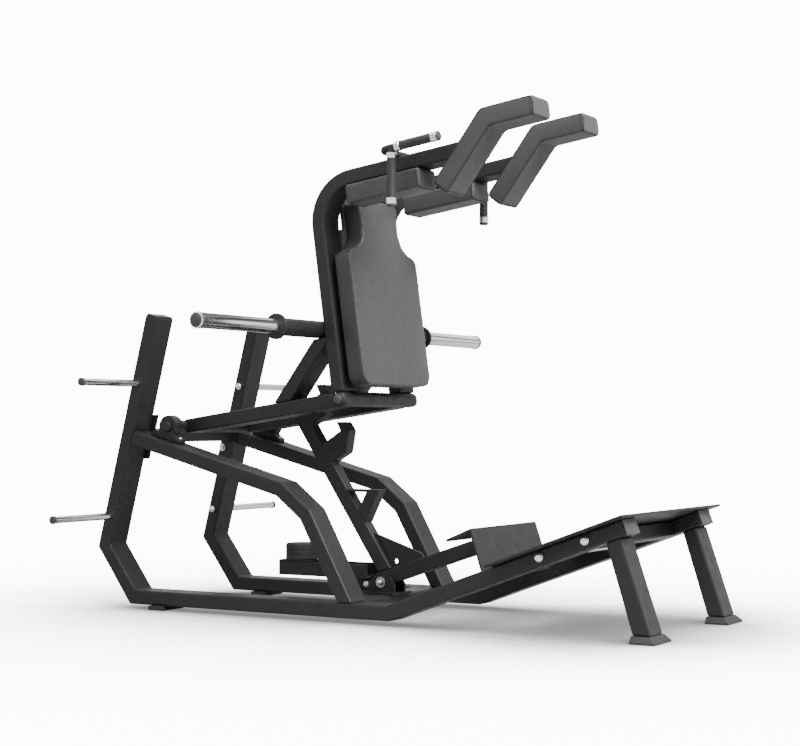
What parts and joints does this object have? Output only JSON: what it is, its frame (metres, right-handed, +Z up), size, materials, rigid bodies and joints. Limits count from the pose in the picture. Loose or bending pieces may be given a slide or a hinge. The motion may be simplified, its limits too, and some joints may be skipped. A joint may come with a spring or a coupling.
{
  "type": "lever squat machine",
  "caption": "Plate-loaded hack squat machine with a pivoting padded arm, catch lever with pedal and tilted foot platform.",
  "frame": {"origin": "on the floor, at the middle of the machine's footprint box", "axes": "+X from the weight sleeves' upright end towards the foot platform, +Y to the left of a user on the platform's side of the pads, +Z up; Y = 0 is the middle plane"},
  "size_m": [2.1612, 1.812, 1.7073],
  "materials": {
    "frame_paint": "textured satin powder coat, charcoal",
    "arm_paint": "textured satin powder coat, charcoal",
    "pad_cover": "dark grey leatherette, fine grain",
    "chrome": "polished",
    "grip_rubber": "matt black",
    "foot_rubber": "matt black",
    "board": "matt black",
    "bright_steel": "satin"
  },
  "bodies": {
    "frame": {"frame_side_right": "frame_paint", "frame_side_left": "frame_paint", "side_arch_right": "frame_paint", "side_arch_left": "frame_paint", "rear_crosstube": "frame_paint", "base_crosstube": "frame_paint", "front_beam": "frame_paint", "platform_plate": "frame_paint", "leg_right": "frame_paint", "leg_left": "frame_paint", "pillow_block_right": "frame_paint", "pillow_block_left": "frame_paint", "catch_bracket": "frame_paint", "stop_beam": "frame_paint", "bumper_seat": "frame_paint", "upright_cap_right": "foot_rubber", "upright_cap_left": "foot_rubber", "boot_right": "foot_rubber", "boot_left": "foot_rubber", "rear_foot_right": "foot_rubber", "rear_foot_left": "foot_rubber", "rubber_bumper": "foot_rubber", "storage_peg_upper_right": "chrome", "storage_peg_upper_left": "chrome", "storage_peg_lower_right": "chrome", "storage_peg_lower_left": "chrome", "ramp_cap_right": "bright_steel", "ramp_cap_left": "bright_steel", "tie_rod_rear": "bright_steel", "tie_rod_front": "bright_steel", "pivot_bolt": "bright_steel"},
    "arm": {"arm_axle": "arm_paint", "arm_rail_right": "arm_paint", "arm_rail_left": "arm_paint", "arm_front_crosstube": "arm_paint", "spine_right": "arm_paint", "spine_left": "arm_paint", "brace_right": "arm_paint", "brace_left": "arm_paint", "weight_horn_tube": "arm_paint", "catch_bar": "arm_paint", "weight_sleeve_right": "chrome", "weight_sleeve_left": "chrome", "back_pad": "pad_cover", "rear_shoulder_pad_right": "pad_cover", "rear_shoulder_pad_left": "pad_cover", "front_shoulder_pad_right": "pad_cover", "front_shoulder_pad_left": "pad_cover", "back_board": "board", "handle_right": "bright_steel", "handle_left": "bright_steel", "top_grip_right": "grip_rubber", "top_grip_left": "grip_rubber", "drop_grip_right": "grip_rubber", "drop_grip_left": "grip_rubber"},
    "catch": {"catch_lever": "frame_paint", "rest_bracket": "frame_paint", "pedal_arm": "frame_paint", "catch_gusset": "frame_paint", "pedal_plate": "frame_paint"}
  },
  "joints": [
    {"name": "arm_pivot", "type": "hinge", "parent": "frame", "child": "arm", "pos_m": [-0.7894, 0, 0.647], "axis": [0, 1, 0], "range_deg": [0, 30]},
    {"name": "catch_pivot", "type": "hinge", "parent": "frame", "child": "catch", "pos_m": [-0.0774, 0, 0.108], "axis": [0, 1, 0], "range_deg": [-34, 0]}
  ],
  "couplings": [
    {"joint": "catch_pivot", "follows": "arm_pivot", "ratio": -1.13}
  ]
}
